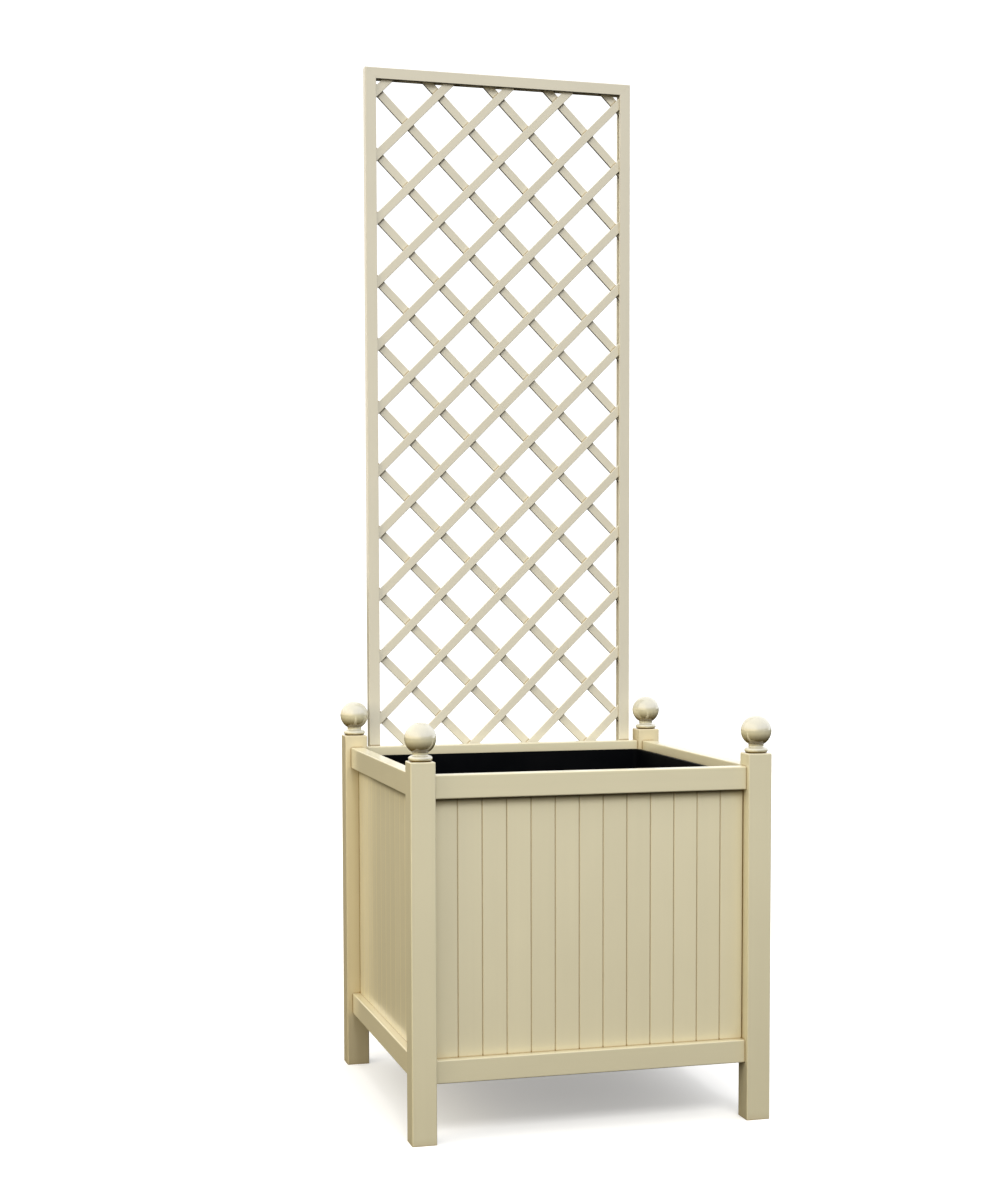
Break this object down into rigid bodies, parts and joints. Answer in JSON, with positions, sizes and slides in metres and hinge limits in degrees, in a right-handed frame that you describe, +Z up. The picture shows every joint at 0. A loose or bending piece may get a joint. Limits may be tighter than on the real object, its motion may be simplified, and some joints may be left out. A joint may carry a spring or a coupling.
{
  "type": "planter with trellis",
  "caption": "Square cream-painted timber planter with turned ball finials, tongue-and-groove sides, a lift-out black liner and a tall diagonal lattice trellis fixed behind it.",
  "frame": {"origin": "on the ground under the middle of the box round the whole object", "axes": "+Z up, +X to the right seen from the front, +Y towards the back, where the trellis stands"},
  "size_m": [0.61, 0.615, 1.804],
  "materials": {
    "frame_paint": "cream satin paint on planed timber",
    "board_paint": "cream satin paint on planed timber",
    "trellis_paint": "cream satin paint on planed timber",
    "finial_paint": "cream gloss paint on turned timber",
    "floor_timber": "bare sawn softwood",
    "liner_plastic": "black moulded plastic",
    "screw_steel": "zinc plated"
  },
  "bodies": {
    "planter_frame": {"bearer_screws": "screw_steel", "boards_back": "board_paint", "boards_front": "board_paint", "boards_left": "board_paint", "boards_right": "board_paint", "bottom_rail_back": "frame_paint", "bottom_rail_front": "frame_paint", "bottom_rail_left": "frame_paint", "bottom_rail_right": "frame_paint", "finial_back_left": "finial_paint", "finial_back_right": "finial_paint", "finial_front_left": "finial_paint", "finial_front_right": "finial_paint", "floor_bearer_back": "floor_timber", "floor_bearer_front": "floor_timber", "floor_boards": "floor_timber", "post_back_left": "frame_paint", "post_back_right": "frame_paint", "post_front_left": "frame_paint", "post_front_right": "frame_paint", "slat_falling_01": "trellis_paint", "slat_falling_02": "trellis_paint", "slat_falling_03": "trellis_paint", "slat_falling_04": "trellis_paint", "slat_falling_05": "trellis_paint", "slat_falling_06": "trellis_paint", "slat_falling_07": "trellis_paint", "slat_falling_08": "trellis_paint", "slat_falling_09": "trellis_paint", "slat_falling_10": "trellis_paint", "slat_falling_11": "trellis_paint", "slat_falling_12": "trellis_paint", "slat_falling_13": "trellis_paint", "slat_falling_14": "trellis_paint", "slat_falling_15": "trellis_paint", "slat_rising_01": "trellis_paint", "slat_rising_02": "trellis_paint", "slat_rising_03": "trellis_paint", "slat_rising_04": "trellis_paint", "slat_rising_05": "trellis_paint", "slat_rising_06": "trellis_paint", "slat_rising_07": "trellis_paint", "slat_rising_08": "trellis_paint", "slat_rising_09": "trellis_paint", "slat_rising_10": "trellis_paint", "slat_rising_11": "trellis_paint", "slat_rising_12": "trellis_paint", "slat_rising_13": "trellis_paint", "slat_rising_14": "trellis_paint", "slat_rising_15": "trellis_paint", "top_rail_back": "frame_paint", "top_rail_front": "frame_paint", "top_rail_left": "frame_paint", "top_rail_right": "frame_paint", "trellis_bottom_rail": "trellis_paint", "trellis_screws": "screw_steel", "trellis_stile_left": "trellis_paint", "trellis_stile_right": "trellis_paint", "trellis_top_rail": "trellis_paint"},
    "lift_out_liner": {"liner": "liner_plastic"}
  },
  "joints": [
    {"name": "liner_lift", "type": "slide", "parent": "planter_frame", "child": "lift_out_liner", "axis": [0, 0, 1], "range_m": [0, 0.55]}
  ]
}
